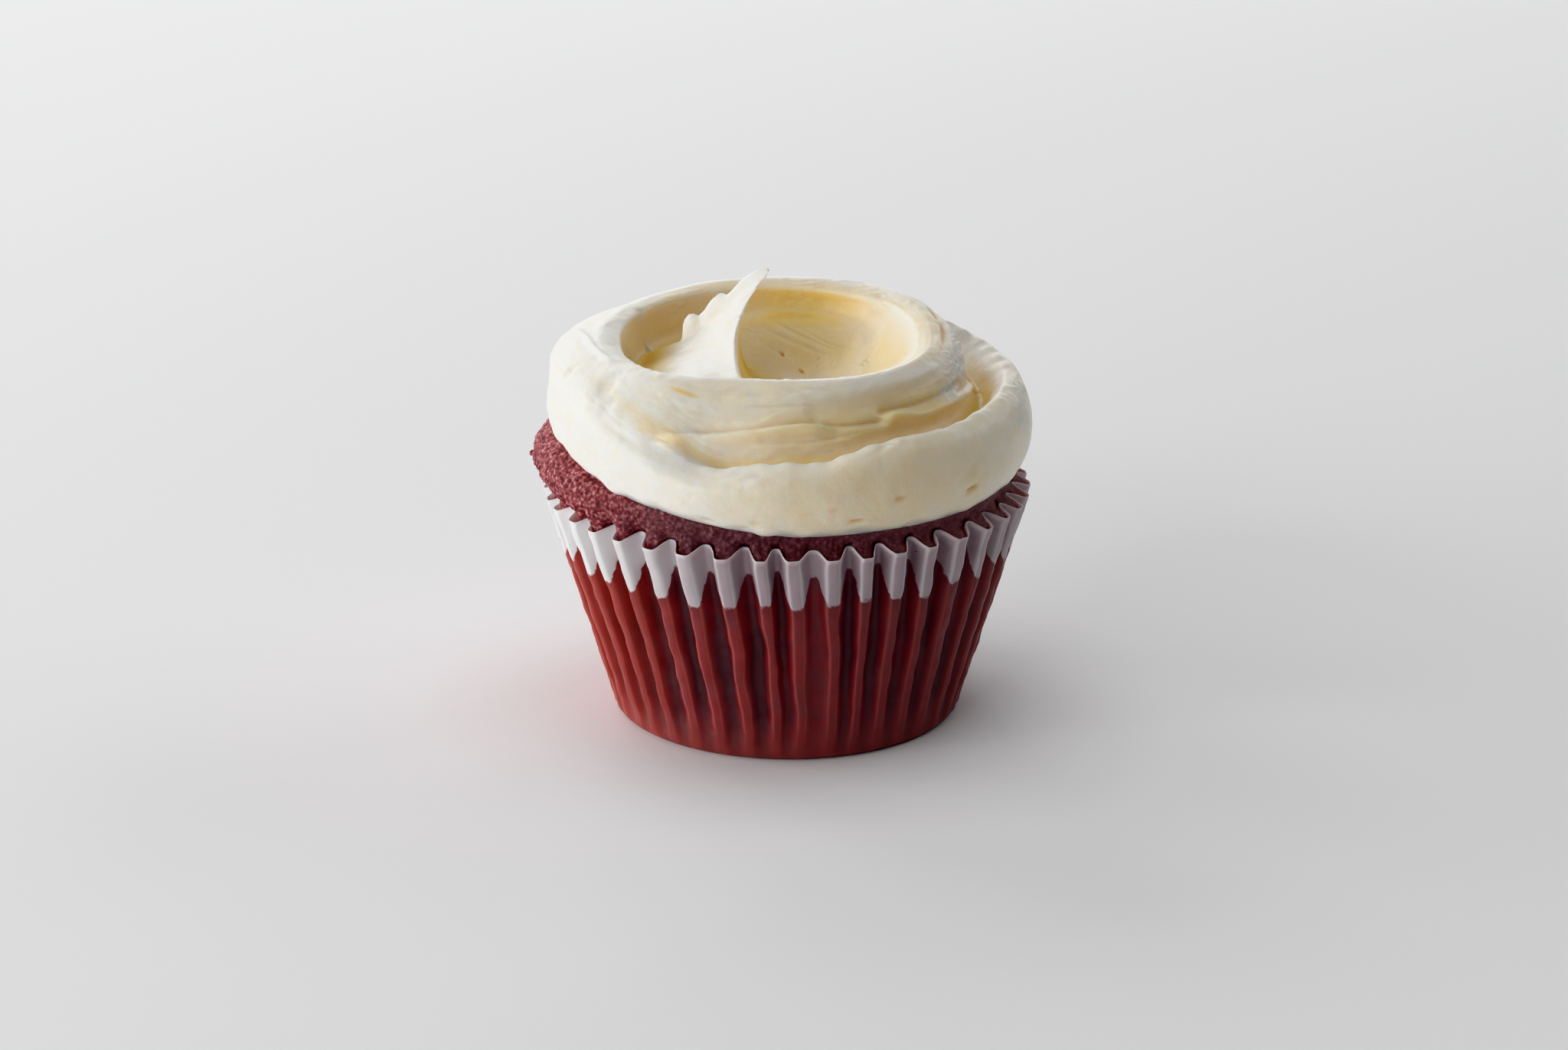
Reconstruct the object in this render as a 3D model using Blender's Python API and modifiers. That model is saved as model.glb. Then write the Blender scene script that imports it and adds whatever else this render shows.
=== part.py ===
"""Cupcake: a domed cake baked in a pleated paper case, with a spatula swirl of frosting on top.

Metres, +Z up. The origin is the centre of the case's flat base, which stands on z = 0.
Angles round the cupcake are compass angles: 0 is the front (-Y), 90 the right side (+X).
"""

import bmesh
import bpy
import numpy as np
from mathutils import Vector

MM = 0.001

# Paper case
BASE_RADIUS = 23.4 * MM
BASE_MIDDLE_SHARE = 0.5
CORNER_RADIUS = 25.1 * MM
CORNER_HEIGHT = 1.6 * MM
RIM_RADIUS = 34.7 * MM
RIM_HEIGHT = 32.8 * MM
FOLD_RISE = 0.42
PLEATS = 41
PLEAT_UNEVENNESS = 0.16
PLEAT_SEED = 7
RIM_DEPTH = 2.7 * MM
LOW_DEPTH = 1.3 * MM
LOW_HEIGHT = 6.5 * MM
CORNER_DEPTH = 0.25 * MM
PANEL_SHARE = 0.36
FOLD_SHARE = 0.14
PAPER_THICKNESS = 0.2 * MM

# Cake
CAKE_GAP = 0.65 * MM
CAKE_FLUTE_SHARE = 0.45
CAKE_WALL_TOP = 30.0 * MM
CAKE_NECK_RADIUS = 31.2 * MM
CAKE_NECK_HEIGHT = 34.35 * MM
CAKE_CROWN = 43.4 * MM
DOME_SHARES = (1.0, 0.8, 0.5, 0.15)
DOME_POWER = 2.2
FROSTING_GAP = 0.4 * MM

# Frosting
FROSTING_COLUMNS = 68
ROWS_PER_STRETCH = 3
FOLD_SIDES = 18
SWIRL_START = -42.0
SWIRL_FULL = 8.0
SWIRL_FADE = 205.0
SWIRL_END = 318.0


def around(front, right, back, left):
    """A smooth function of the compass angle through one value on each of the four sides."""
    mean = (front + right + back + left) / 4
    to_front = (front - back) / 2
    to_right = (right - left) / 2
    oval = (front + back - right - left) / 4

    def value(angle):
        turn = np.radians(angle)
        return mean + to_front * np.cos(turn) + to_right * np.sin(turn) + oval * np.cos(2 * turn)

    return value


def side(front, right, back, left):
    """A point of the section on each side, as (radius, height) in millimetres, in metres."""
    radii, heights = zip(front, right, back, left)
    return around(*(r * MM for r in radii)), around(*(h * MM for h in heights))


# The cake's edge, where it swells over the case, is furthest out and highest on the left.
CAKE_EDGE = side((31.9, 35.0), (31.6, 34.85), (33.2, 36.8), (35.5, 37.8))

# The frosting's section from its lower edge, over the outer band, up the ring and into the well.
SEAT = side((31.9, 35.6), (32.0, 35.3), (32.6, 38.6), (33.0, 41.4))
BELLY = side((34.4, 40.3), (34.7, 41.2), (34.6, 44.4), (34.1, 46.8))
LIP = side((31.6, 45.5), (31.6, 47.7), (31.4, 51.2), (32.3, 52.6))
GROOVE = side((28.6, 44.2), (27.2, 44.4), (28.6, 50.2), (29.4, 53.2))
SMOOTH = side((30.6, 47.6), (30.0, 48.4), (29.8, 52.4), (30.0, 54.0))
FLANK = side((26.2, 50.2), (25.0, 50.6), (27.0, 54.6), (27.8, 54.6))
CREST = side((21.4, 54.2), (20.6, 54.6), (24.0, 56.2), (25.6, 55.0))
WELL_WALL = side((18.6, 51.6), (16.4, 51.8), (20.4, 53.0), (22.8, 52.0))
WELL_FLOOR = side((14.0, 48.6), (12.0, 48.2), (16.0, 48.4), (18.6, 48.6))
WELL_CENTRE = 46.6 * MM
WELL_CENTRE_SHARE = 0.45

# The lifted fold in the well: centre x, y, then half width, half depth and height, in millimetres,
# rising to a tip. Its right side is hollow, scooped by this share of the half width.
FOLD_SECTIONS = (
    (-8.6, -6.0, 11.0, 12.0, 46.0),
    (-8.4, -5.0, 9.0, 11.0, 50.0),
    (-7.8, -2.4, 6.6, 8.6, 53.6),
    (-6.4, 0.4, 4.4, 5.4, 56.8),
    (-4.8, 2.8, 2.4, 2.9, 59.8),
    (-3.4, 4.4, 1.0, 1.3, 62.0),
)
FOLD_TIP = (-2.7, 5.0, 63.0)
FOLD_SCOOP = 0.45


def clear_scene():
    for obj in list(bpy.data.objects):
        bpy.data.objects.remove(obj, do_unlink=True)


def collection(name):
    found = bpy.data.collections.new(name)
    bpy.context.scene.collection.children.link(found)
    return found


def material(name, color, roughness, subsurface=0.0):
    made = bpy.data.materials.new(name)
    made.use_nodes = True
    shader = made.node_tree.nodes["Principled BSDF"]
    shader.inputs["Base Color"].default_value = (*color, 1.0)
    shader.inputs["Roughness"].default_value = roughness
    shader.inputs["Metallic"].default_value = 0.0
    shader.inputs["Subsurface Weight"].default_value = subsurface
    return made


def smoothstep(low, high, value):
    share = np.clip((value - low) / (high - low), 0.0, 1.0)
    return share * share * (3 - 2 * share)


def polar(angle, radius, height):
    """Points from compass angles in degrees, radii and heights."""
    turn = np.radians(angle)
    return np.stack(np.broadcast_arrays(radius * np.sin(turn), -radius * np.cos(turn), height), -1)


def loft(name, rings, close_start=True, close_end=True):
    """A mesh skinned over rings of the same number of points, with each end closed by a fan to its middle."""
    shell = bmesh.new()
    rows = [[shell.verts.new(Vector(point)) for point in ring] for ring in rings]
    count = len(rows[0])
    for lower, upper in zip(rows, rows[1:]):
        for i in range(count):
            j = (i + 1) % count
            shell.faces.new((lower[i], lower[j], upper[j], upper[i]))
    for row, wanted in ((rows[0], close_start), (rows[-1], close_end)):
        if wanted:
            middle = sum((vert.co for vert in row), Vector()) / count
            hub = shell.verts.new(middle)
            for i in range(count):
                shell.faces.new((row[i], row[(i + 1) % count], hub))
    bmesh.ops.recalc_face_normals(shell, faces=shell.faces)
    mesh = bpy.data.meshes.new(name)
    shell.to_mesh(mesh)
    shell.free()
    mesh.shade_smooth()
    return bpy.data.objects.new(name, mesh)


def finish(obj, made_of, home):
    obj.data.materials.append(made_of)
    home.objects.link(obj)
    return obj


def pleat_corners():
    """Compass angles of the pleats' corners, four to a pleat, and which of them lie on an outer panel."""
    draw = np.random.default_rng(PLEAT_SEED)
    widths = 1 + PLEAT_UNEVENNESS * draw.uniform(-1, 1, PLEATS)
    widths *= 360.0 / widths.sum()
    starts = np.cumsum(widths) - widths
    wall = (1 - PANEL_SHARE - FOLD_SHARE) / 2
    steps = np.array([0.0, PANEL_SHARE, PANEL_SHARE + wall, PANEL_SHARE + wall + FOLD_SHARE])
    angles = (starts[:, None] + widths[:, None] * steps).ravel()
    return angles, np.tile([1.0, 1.0, 0.0, 0.0], PLEATS)


def wall_radius(height):
    """The case's outer radius at a height above its corner."""
    share = (height - CORNER_HEIGHT) / (RIM_HEIGHT - CORNER_HEIGHT)
    return CORNER_RADIUS + (RIM_RADIUS - CORNER_RADIUS) * share


def pleat_depth(height):
    return np.interp(
        height,
        (CORNER_HEIGHT, LOW_HEIGHT, RIM_HEIGHT),
        (CORNER_DEPTH, LOW_DEPTH, RIM_DEPTH),
    )


def make_case(home):
    """The case: a flat base, a rounded corner and a pleated wall that flares to the rim."""
    angles, outer = pleat_corners()
    rings = [
        polar(angles, BASE_RADIUS * BASE_MIDDLE_SHARE, 0.0),
        polar(angles, BASE_RADIUS, 0.0),
    ]
    for height in (CORNER_HEIGHT, LOW_HEIGHT, RIM_HEIGHT):
        inward = pleat_depth(height) * (1 - outer)
        lift = FOLD_RISE * inward * (height / RIM_HEIGHT)
        rings.append(polar(angles, wall_radius(height) - inward, height + lift))
    case = loft("paper_case", rings, close_end=False)
    sheet = case.modifiers.new("paper", "SOLIDIFY")
    sheet.thickness = PAPER_THICKNESS
    sheet.offset = -1.0
    return finish(case, material("waxed paper", (0.62, 0.55, 0.56), 0.5), home)


def dome_height(angle, share):
    """The cake's top at a share of its edge radius, from the crown at 0 to the frosting's lower edge at 1."""
    edge = SEAT[1](angle) - FROSTING_GAP
    return edge + (CAKE_CROWN - edge) * (1 - share**DOME_POWER)


def make_cake(home):
    """The cake fills the pleats, swells over the rim and domes up under the frosting."""
    angles, outer = pleat_corners()
    floor = PAPER_THICKNESS + CAKE_GAP
    rings = [polar(angles, BASE_RADIUS - CAKE_GAP, floor)]
    for height in (CORNER_HEIGHT + floor, LOW_HEIGHT, CAKE_WALL_TOP):
        depth = pleat_depth(height)
        inner = wall_radius(height) - depth - CAKE_GAP
        rings.append(polar(angles, inner + CAKE_FLUTE_SHARE * depth * outer, height))
    rings.append(polar(angles, CAKE_NECK_RADIUS, CAKE_NECK_HEIGHT))
    edge_radius, edge_height = (value(angles) for value in CAKE_EDGE)
    rings.append(polar(angles, edge_radius, edge_height))
    seat_radius = SEAT[0](angles) - FROSTING_GAP
    for share in DOME_SHARES:
        rings.append(polar(angles, seat_radius * share, dome_height(angles, share)))
    return finish(loft("cake", rings), material("red cake", (0.20, 0.022, 0.025), 0.85), home)


def swirl_strength(angle):
    """How deep the groove inside the lip is: none at the swirl's start, full round the right side and
    the back, and fading to nothing where the band runs into the ring."""
    turned = SWIRL_START + np.mod(angle - SWIRL_START, 360.0)
    rise = smoothstep(SWIRL_START, SWIRL_FULL, turned)
    return rise * (1 - smoothstep(SWIRL_FADE, SWIRL_END, turned))


def through(points, rows):
    """Points along a smooth curve through the given stations, a number of rows to each stretch."""
    padded = [2 * points[0] - points[1], *points, 2 * points[-1] - points[-2]]
    found = []
    for before, start, end, after in zip(padded, padded[1:], padded[2:], padded[3:]):
        for t in np.arange(rows) / rows:
            found.append(
                0.5
                * (
                    2 * start
                    + (end - before) * t
                    + (2 * before - 5 * start + 4 * end - after) * t**2
                    + (3 * start - before - 3 * end + after) * t**3
                )
            )
    return [*found, points[-1]]


def frosting_body():
    """The swirl: an outer band with a lip, a groove, a ring and the well inside it."""
    angles = np.linspace(0.0, 360.0, FROSTING_COLUMNS, endpoint=False)
    strength = swirl_strength(angles)
    sections = []
    for station in (SEAT, BELLY, LIP, None, FLANK, CREST, WELL_WALL, WELL_FLOOR):
        if station is None:
            radius, height = (
                strength * deep(angles) + (1 - strength) * flat(angles)
                for deep, flat in zip(GROOVE, SMOOTH)
            )
        else:
            radius, height = (value(angles) for value in station)
        sections.append(np.stack([radius, height]))
    outside = through(sections, ROWS_PER_STRETCH)
    seat_radius = SEAT[0](angles)
    under = [
        np.stack([seat_radius * share, dome_height(angles, share) + FROSTING_GAP])
        for share in DOME_SHARES[:0:-1]
    ]
    inside = np.stack([WELL_FLOOR[0](angles) * WELL_CENTRE_SHARE, np.full_like(angles, WELL_CENTRE)])
    rings = [polar(angles, radius, height) for radius, height in (*under, *outside, inside)]
    return loft("frosting", rings)


def frosting_fold(helpers):
    """The fold that the spatula leaves as it lifts, leaning back and to the right up to a thin tip."""
    turn = np.linspace(0.0, 2 * np.pi, FOLD_SIDES, endpoint=False)
    across = np.cos(turn) * (1 - FOLD_SCOOP * np.clip(np.cos(turn), 0, 1) ** 3)
    rings = []
    for x, y, half_width, half_depth, height in FOLD_SECTIONS:
        outline = (
            (x + half_width * across) * MM,
            (y + half_depth * np.sin(turn)) * MM,
            np.full(FOLD_SIDES, height * MM),
        )
        rings.append(np.stack(outline, -1))
    fold = loft("frosting fold", rings)
    peak = max(fold.data.vertices, key=lambda vert: vert.co.z)
    peak.co = Vector(FOLD_TIP) * MM
    fold.hide_render = True
    fold.display_type = "WIRE"
    helpers.objects.link(fold)
    return fold


def make_frosting(home, helpers):
    body = frosting_body()
    join = body.modifiers.new("fold", "BOOLEAN")
    join.operation = "UNION"
    join.solver = "EXACT"
    join.object = frosting_fold(helpers)
    return finish(body, material("cream cheese frosting", (0.86, 0.80, 0.66), 0.45, 0.3), home)


clear_scene()
cupcake = collection("cupcake")
cutters = collection("cutters")
make_case(cupcake)
make_cake(cupcake)
make_frosting(cupcake, cutters)
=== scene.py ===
"""A cupcake in a pleated paper case under a spatula swirl of cream cheese frosting: the looks of each piece,
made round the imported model."""

import math

import bpy
import numpy as np
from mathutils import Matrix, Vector


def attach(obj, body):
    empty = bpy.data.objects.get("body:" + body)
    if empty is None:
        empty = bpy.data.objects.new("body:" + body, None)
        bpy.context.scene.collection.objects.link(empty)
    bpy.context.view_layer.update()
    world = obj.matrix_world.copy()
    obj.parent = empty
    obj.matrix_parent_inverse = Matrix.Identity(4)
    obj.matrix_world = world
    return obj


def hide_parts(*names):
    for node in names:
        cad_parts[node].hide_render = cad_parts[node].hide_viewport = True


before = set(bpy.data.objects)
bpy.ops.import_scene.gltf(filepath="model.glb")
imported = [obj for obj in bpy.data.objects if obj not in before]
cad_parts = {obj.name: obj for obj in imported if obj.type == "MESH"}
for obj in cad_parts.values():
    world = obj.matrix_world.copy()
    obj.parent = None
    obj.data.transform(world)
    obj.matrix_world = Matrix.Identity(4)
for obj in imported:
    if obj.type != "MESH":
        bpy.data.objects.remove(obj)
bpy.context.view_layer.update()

# ----------------------------------------------------------------------
# Paper case. One round of thin white greaseproof paper, pressed into pleats round a flat base. Where the
# cake baked against it, fat and colour have soaked through and stained it dark red, up to a tide line below
# the rim. It is a grid rolled into a cup, pleat by pleat, and given the paper's thickness.
# ----------------------------------------------------------------------

MM = 0.001
CASE_BASE_RADIUS = 23.4
CASE_CORNER_RADIUS = 25.1
CASE_CORNER_HEIGHT = 1.6
CASE_RIM_RADIUS = 34.6
CASE_RIM_HEIGHT = 32.8
FOLD_LIFT = 1.05
PAPER_THICKNESS = 0.12
COLUMNS_PER_PANEL = 5
COLUMNS_PER_WALL = 4
COLUMNS_PER_FOLD = 4
COLUMNS_PER_PLEAT = COLUMNS_PER_PANEL + 2 * COLUMNS_PER_WALL + COLUMNS_PER_FOLD
CASE_BASE_ROWS = 4
CASE_CORNER_ROWS = 4
CASE_WALL_ROWS = 44
PLEATS = 41
# Of a pleat's four corners, two are out on the panel and two are in the fold.
IN_FOLD = (0.0, 0.0, 1.0, 1.0)
# Compass angles of the front pleats' outer panels and of the folds between them: 0 in front, 90 on the right.
FRONT_PANELS = (
    -51.1, -42.3, -32.9, -24.4, -14.9, -5.7, 1.2, 10.3, 17.9, 26.1, 34.6, 43.7, 53.5, 62.8, 70.8, 79.0,
)
FRONT_FOLDS = (
    -46.7, -38.3, -28.9, -19.6, -10.3, -2.8, 6.1, 15.3, 22.9, 31.8, 40.3, 50.5, 58.4, 66.3, 74.6,
)
# The fold just right of the front is wide, shallow and pale.
WIDE_FOLD = 6
# How deep the folds go in at each height, and how high the stain reaches on a panel and in a fold.
DEPTH_HEIGHTS = (0.3, 1.6, 6.5, 14.0, 22.0, 32.8)
FOLD_DEPTHS = (0.0, 0.25, 1.0, 1.6, 2.1, 2.7)
TIDE_ON_PANEL = 25.2
TIDE_ON_FOLD = 30.0


def smoothstep(low, high, value):
    share = np.clip((value - low) / (high - low), 0.0, 1.0)
    return share * share * (3 - 2 * share)


def only(piece):
    """Deselects everything else and makes this piece the one that operators act on."""
    bpy.ops.object.select_all(action="DESELECT")
    piece.select_set(True)
    bpy.context.view_layer.objects.active = piece


def roll_up(name, columns, rows, place):
    """A primitive grid rolled into a closed body, stitched along its seam and at its poles. From shares of a
    turn, place() gives its points in millimetres, in rows by columns, and the marks to keep on them."""
    bpy.ops.object.select_all(action="DESELECT")
    bpy.ops.mesh.primitive_grid_add(x_subdivisions=columns, y_subdivisions=rows, size=1)
    piece = bpy.context.active_object
    piece.name = piece.data.name = name
    points, marks = place(np.linspace(0, 1, columns + 1))
    piece.data.vertices.foreach_set("co", (points * MM).ravel())
    for mark, values in marks.items():
        layer = piece.data.attributes.new(mark, "FLOAT", "POINT")
        layer.data.foreach_set("value", np.broadcast_to(values, points.shape[:2]).ravel())
    bpy.ops.object.mode_set(mode="EDIT")
    bpy.ops.mesh.select_all(action="SELECT")
    bpy.ops.mesh.remove_doubles(threshold=1e-6)
    bpy.ops.mesh.normals_make_consistent(inside=False)
    bpy.ops.object.mode_set(mode="OBJECT")
    bpy.ops.object.shade_smooth()
    return piece


def polar(angle, radius, height):
    """Points from compass angles in degrees, radii and heights."""
    turn = np.radians(angle)
    return np.stack(np.broadcast_arrays(radius * np.sin(turn), -radius * np.cos(turn), height), -1)


def ring(angle, line):
    """Points from compass angles and a (radius, height) at each."""
    return polar(angle, line[:, 0], line[:, 1])


def soften(values):
    """Rounds the corners of a closed line of values."""
    return (np.roll(values, 1, -1) + 2 * values + np.roll(values, -1, -1)) / 4


# The hidden pleats go on round the back at the same pitch. Every pleat differs a little in its depth, its
# stain and its kinks, which are sideways shifts in degrees at a few heights.
pleat_draw = np.random.default_rng(41)
hidden = PLEATS - len(FRONT_PANELS)
hidden_step = (360 + FRONT_PANELS[0] - FRONT_PANELS[-1]) / (hidden + 1)
hidden_panels = FRONT_PANELS[-1] + hidden_step * np.arange(1, hidden + 1)
panels = np.concatenate([FRONT_PANELS, hidden_panels + pleat_draw.uniform(-0.9, 0.9, hidden)])
next_panels = np.append(panels[1:], panels[0] + 360)
hidden_folds = (panels + next_panels)[len(FRONT_FOLDS) :] / 2 + pleat_draw.uniform(-0.6, 0.6, hidden + 1)
folds = np.concatenate([FRONT_FOLDS, hidden_folds])
fold_strength = pleat_draw.uniform(0.86, 1.1, PLEATS)
fold_strength[WIDE_FOLD] = 0.62
tide_shift = pleat_draw.uniform(-0.7, 0.7, PLEATS)
KINK_HEIGHTS = (0.0, 3.0, 8.0, 13.0, 18.0, 23.0, 28.0, 34.0)
KINK_SIZES = (0.3, 0.6, 1.0, 1.0, 0.9, 0.6, 0.2, 0.0)
panel_kinks = pleat_draw.normal(0, 0.42, (PLEATS, len(KINK_HEIGHTS))) * KINK_SIZES
fold_kinks = pleat_draw.normal(0, 0.36, (PLEATS, len(KINK_HEIGHTS))) * KINK_SIZES
fold_stain = pleat_draw.uniform(-0.35, 0.25, (PLEATS, len(KINK_HEIGHTS)))
fold_stain[WIDE_FOLD] = -0.5


def pleat_corners(height):
    """At one height, the compass angles of every pleat's four corners: two of its panel, two of its fold."""
    twist = np.interp(height, (4.0, 16.0, 25.0, 31.0), (3.0, 2.0, 0.9, 0.0))
    panel = panels + np.array([np.interp(height, KINK_HEIGHTS, kinks) for kinks in panel_kinks]) + twist
    fold = folds + np.array([np.interp(height, KINK_HEIGHTS, kinks) for kinks in fold_kinks]) + twist
    panel_share = np.interp(height, (8.0, 20.0, 27.0), (0.27, 0.3, 0.36))
    fold_share = np.interp(height, (8.0, 20.0, 27.0), (0.26, 0.28, 0.2))
    before = np.append(fold[-1] - 360, fold[:-1])
    after = np.append(panel[1:], panel[0] + 360)
    return np.stack(
        [
            panel - panel_share * (panel - before),
            panel + panel_share * (fold - panel),
            fold - fold_share * (fold - panel),
            fold + fold_share * (after - fold),
        ],
        1,
    )


def wall_radius(share):
    """The case's radius at a share of its wall's height."""
    return CASE_CORNER_RADIUS + (CASE_RIM_RADIUS - CASE_CORNER_RADIUS) * share


def place_case(around):
    columns = len(around) - 1
    corners_at = np.cumsum([0, COLUMNS_PER_PANEL, COLUMNS_PER_WALL, COLUMNS_PER_FOLD])
    stops = (np.arange(PLEATS)[:, None] * COLUMNS_PER_PLEAT + corners_at).ravel()

    def spread(values, last):
        """Values at the pleats' corners, as values at every column."""
        return np.interp(np.arange(columns), np.append(stops, columns), np.append(values, last))

    base = np.linspace(0, CASE_BASE_RADIUS, CASE_BASE_ROWS + 1)
    corner = np.linspace(0, math.pi / 2, CASE_CORNER_ROWS + 1)[1:]
    wall = np.linspace(0, 1, CASE_WALL_ROWS + 1)[1:]
    corner_radii = CASE_BASE_RADIUS + (CASE_CORNER_RADIUS - CASE_BASE_RADIUS) * np.sin(corner)
    corner_heights = CASE_CORNER_HEIGHT * (1 - np.cos(corner))
    wall_heights = CASE_CORNER_HEIGHT + (CASE_RIM_HEIGHT - CASE_CORNER_HEIGHT) * wall
    radii = np.concatenate([base, corner_radii, wall_radius(wall)])
    heights = np.concatenate([np.zeros_like(base), corner_heights, wall_heights])
    depths = np.interp(heights, DEPTH_HEIGHTS, FOLD_DEPTHS)
    points = np.empty((len(heights), columns + 1, 3))
    inward, tide, stained = np.empty((3, len(heights), columns + 1))
    power = spread(np.repeat(fold_strength, 4), fold_strength[0])
    shift = spread(np.repeat(tide_shift, 4), tide_shift[0])
    into = soften(spread(np.tile(IN_FOLD, PLEATS), 0.0))
    for row, (radius, height, depth) in enumerate(zip(radii, heights, depths)):
        corners = pleat_corners(height)
        line = np.radians(spread(corners, corners[0, 0] + 360))
        line = np.degrees(np.arctan2(soften(np.sin(line)), soften(np.cos(line))))
        lift = FOLD_LIFT * into * (height / CASE_RIM_HEIGHT) ** 2
        circle = polar(line, radius - depth * power * into, height + lift)
        points[row] = np.append(circle, circle[:1], 0)
        stains = np.repeat([np.interp(height, KINK_HEIGHTS, stain) for stain in fold_stain], 4)
        inward[row] = np.append(into, into[0])
        stained[row] = np.append(into + spread(stains, stains[0]) * into, into[0])
        tide[row] = np.append(shift, shift[0])
    tide_line = TIDE_ON_PANEL + (TIDE_ON_FOLD - TIDE_ON_PANEL) * inward + tide
    creased = np.zeros(columns + 1)
    creased[stops] = np.tile([1.0, 1.0, 0.0, 0.0], PLEATS)
    creased[-1] = creased[0]
    creased = creased * smoothstep(2.0, 6.0, heights)[:, None]
    creased[-1] = 1.0
    return points, {
        "inward": stained,
        "soaked": tide_line - points[:, :, 2],
        "creased": creased,
        "free": smoothstep(0.5, 3.0, heights)[:, None],
    }


case = roll_up(
    "paper_case_pleated",
    PLEATS * COLUMNS_PER_PLEAT,
    CASE_BASE_ROWS + CASE_CORNER_ROWS + CASE_WALL_ROWS,
    place_case,
)


def crumple(piece, name, kind, size, depth, group=None, **settings):
    """Displaces a piece along its normals with a procedural texture whose features are size mm across."""
    texture = bpy.data.textures.new(name, kind)
    texture.noise_scale = size * MM
    for key, value in settings.items():
        setattr(texture, key, value)
    waves = piece.modifiers.new(name, "DISPLACE")
    waves.texture = texture
    waves.texture_coords = "LOCAL"
    waves.strength = depth * MM
    waves.mid_level = 0.5
    if group:
        waves.vertex_group = group
    only(piece)
    bpy.ops.object.modifier_apply(modifier=name)


def group_from(piece, mark):
    """A vertex group with the weights of an attribute."""
    weights = np.empty(len(piece.data.vertices))
    piece.data.attributes[mark].data.foreach_get("value", weights)
    group = piece.vertex_groups.new(name=mark)
    for level in np.unique(np.round(weights, 2)):
        if level > 0:
            group.add(np.flatnonzero(np.round(weights, 2) == level).tolist(), float(level), "REPLACE")


group_from(case, "free")
crumple(case, "paper crumples", "CLOUDS", 3.2, 0.55, "free")
sheet = case.modifiers.new("paper", "SOLIDIFY")
sheet.thickness = PAPER_THICKNESS * MM
sheet.offset = -1.0
only(case)
bpy.ops.object.modifier_apply(modifier="paper")


def linear(code):
    """An sRGB hex colour as linear red, green, blue and alpha."""
    channels = [int(code[i : i + 2], 16) / 255 for i in (0, 2, 4)]
    return (*(c / 12.92 if c <= 0.04045 else ((c + 0.055) / 1.055) ** 2.4 for c in channels), 1.0)


def start_material(name):
    """An empty material with its shader: the node tree and the Principled node."""
    made = bpy.data.materials.new(name)
    made.use_nodes = True
    return made, made.node_tree, made.node_tree.nodes["Principled BSDF"]


def add_node(tree, kind, settings=None, inputs=None):
    """Adds a node. Each input is a plain value, or another node's output to link from."""
    made = tree.nodes.new(kind)
    for key, value in (settings or {}).items():
        setattr(made, key, value)
    for key, value in (inputs or {}).items():
        if isinstance(value, bpy.types.NodeSocket):
            tree.links.new(value, made.inputs[key])
        else:
            made.inputs[key].default_value = value
    return made


# Greaseproof paper: bleached wood pulp beaten dense and lightly waxed. It is thin enough to look grey over
# the dark cake; that grey is painted in from the left towards the right as painted shade. Soaked with fat and
# red crumb it turns clear and shows the cake, wine dark in the folds, with a grey bloom of wax and a painted
# sheen on its faces, a paler line where each pleat is creased, partly worn paper and partly a painted
# highlight on the ridges, and a speckled edge to the stain. It is rubbed paler at the foot, has a painted red
# glow on the left, where light comes through it, and painted grey shade and haze on the right.
PAPER_WHITE = linear("F6F0F0")
PAPER_GREY_SHADE = linear("AD9DA3")
PAPER_CREASE_HIGHLIGHT = linear("DCD6D7")
PAPER_RIDGE = linear("983F3F")
PAPER_SOAKED = linear("842D30")
PAPER_DEEP = linear("4D272C")
PAPER_FRINGE = linear("6A3038")
PAPER_BLOOM_SHEEN = linear("6B555B")
PAPER_WORN_HIGHLIGHT = linear("C86A60")
PAPER_RUBBED = linear("A65753")
PAPER_PAINTED_SHADE = linear("5A3D41")
PAPER_PAINTED_GLOW = linear("B04539")

paper, tree, shader = start_material("waxed greaseproof paper")
spot = add_node(tree, "ShaderNodeTexCoord").outputs["Object"]
place = add_node(tree, "ShaderNodeSeparateXYZ", None, {"Vector": spot})
soaked, inward, creased = (
    add_node(tree, "ShaderNodeAttribute", {"attribute_name": mark}).outputs["Fac"]
    for mark in ("soaked", "inward", "creased")
)
ragged, blotch, haze, specks, fibres = (
    add_node(tree, "ShaderNodeTexNoise", None, {"Vector": spot, "Scale": size, "Detail": fine}).outputs["Fac"]
    for size, fine in ((900.0, 4.0), (240.0, 3.0), (420.0, 5.0), (2000.0, 3.0), (1500.0, 4.0))
)
ragged_by = add_node(tree, "ShaderNodeMath", {"operation": "MULTIPLY_ADD"}, {0: ragged, 1: 1.8, 2: -0.9})
edge = add_node(tree, "ShaderNodeMath", {"operation": "ADD"}, {0: soaked, 1: ragged_by.outputs[0]})
depth_by = add_node(tree, "ShaderNodeMath", {"operation": "MULTIPLY_ADD"}, {0: blotch, 1: 0.7, 2: -0.35})
depth_at = add_node(tree, "ShaderNodeMath", {"operation": "ADD"}, {0: inward, 1: depth_by.outputs[0]})
red = add_node(tree, "ShaderNodeValToRGB", None, {"Fac": depth_at.outputs[0]})
red.color_ramp.elements[0].color = PAPER_RIDGE
red.color_ramp.elements[1].position = 0.92
red.color_ramp.elements[1].color = PAPER_DEEP
red.color_ramp.elements.new(0.5).color = PAPER_SOAKED
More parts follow.
